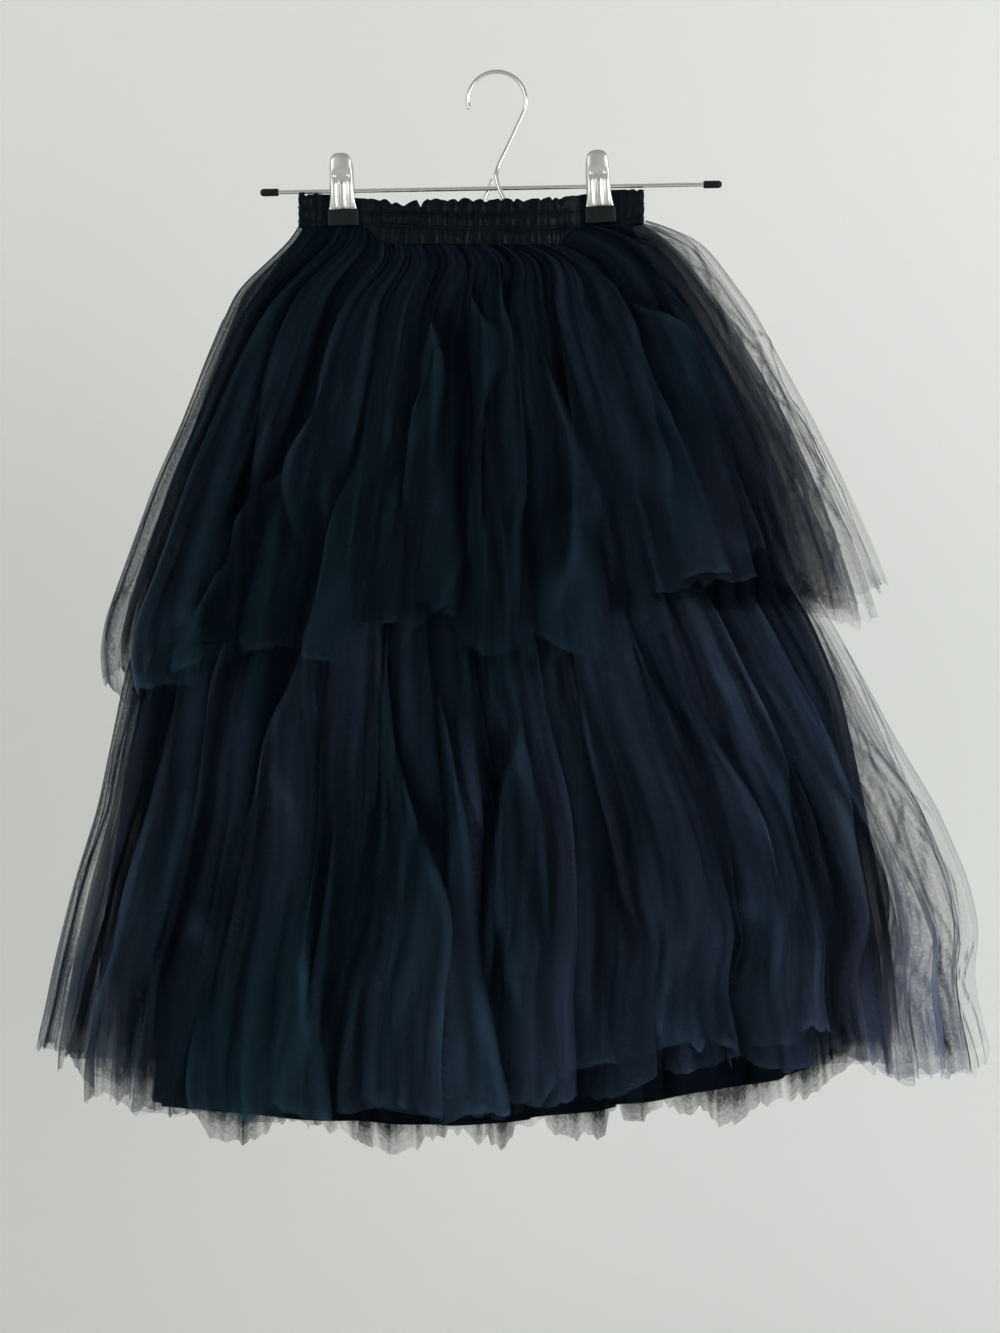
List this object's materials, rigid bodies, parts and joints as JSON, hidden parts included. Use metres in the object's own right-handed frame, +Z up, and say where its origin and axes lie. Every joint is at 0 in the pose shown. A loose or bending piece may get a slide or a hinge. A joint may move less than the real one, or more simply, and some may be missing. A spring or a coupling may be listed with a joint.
{
  "type": "tulle skirt on a clip hanger",
  "caption": "Two-tier gathered tulle skirt with a ruffled satin waistband and satin lining, hanging by its waist from the clips of a wire skirt hanger.",
  "frame": {"origin": "the inner top of the hanger's hook, where it rests on a rail", "axes": "+Z up along the hanging skirt, +X to the right as seen from the front, -Y out of the skirt's front"},
  "size_m": [0.7242, 0.2058, 0.798],
  "materials": {
    "satin": "black satin, soft sheen, gathered",
    "tulle": "fine midnight-navy net, raw cut edges, matt",
    "chrome": "chromed steel, slightly worn",
    "vinyl": "dipped black vinyl, half matt",
    "spring": "plain spring wire"
  },
  "bodies": {
    "root": {"waistband_front": "satin", "waistband_back": "satin", "lining_front": "satin", "lining_back": "satin", "upper_tulle_front": "tulle", "upper_tulle_back": "tulle", "upper_under_tulle_front": "tulle", "upper_under_tulle_back": "tulle", "lower_tulle_front": "tulle", "lower_tulle_back": "tulle", "lower_under_tulle_front": "tulle", "lower_under_tulle_back": "tulle", "hanger_bar": "chrome", "hanger_hook": "chrome", "bar_cap_left": "vinyl", "bar_cap_right": "vinyl", "clip_left_front_jaw": "chrome", "clip_left_back_jaw": "chrome", "clip_left_front_pad": "vinyl", "clip_left_back_pad": "vinyl", "clip_left_spring": "spring", "clip_right_front_jaw": "chrome", "clip_right_back_jaw": "chrome", "clip_right_front_pad": "vinyl", "clip_right_back_pad": "vinyl", "clip_right_spring": "spring"}
  },
  "joints": []
}
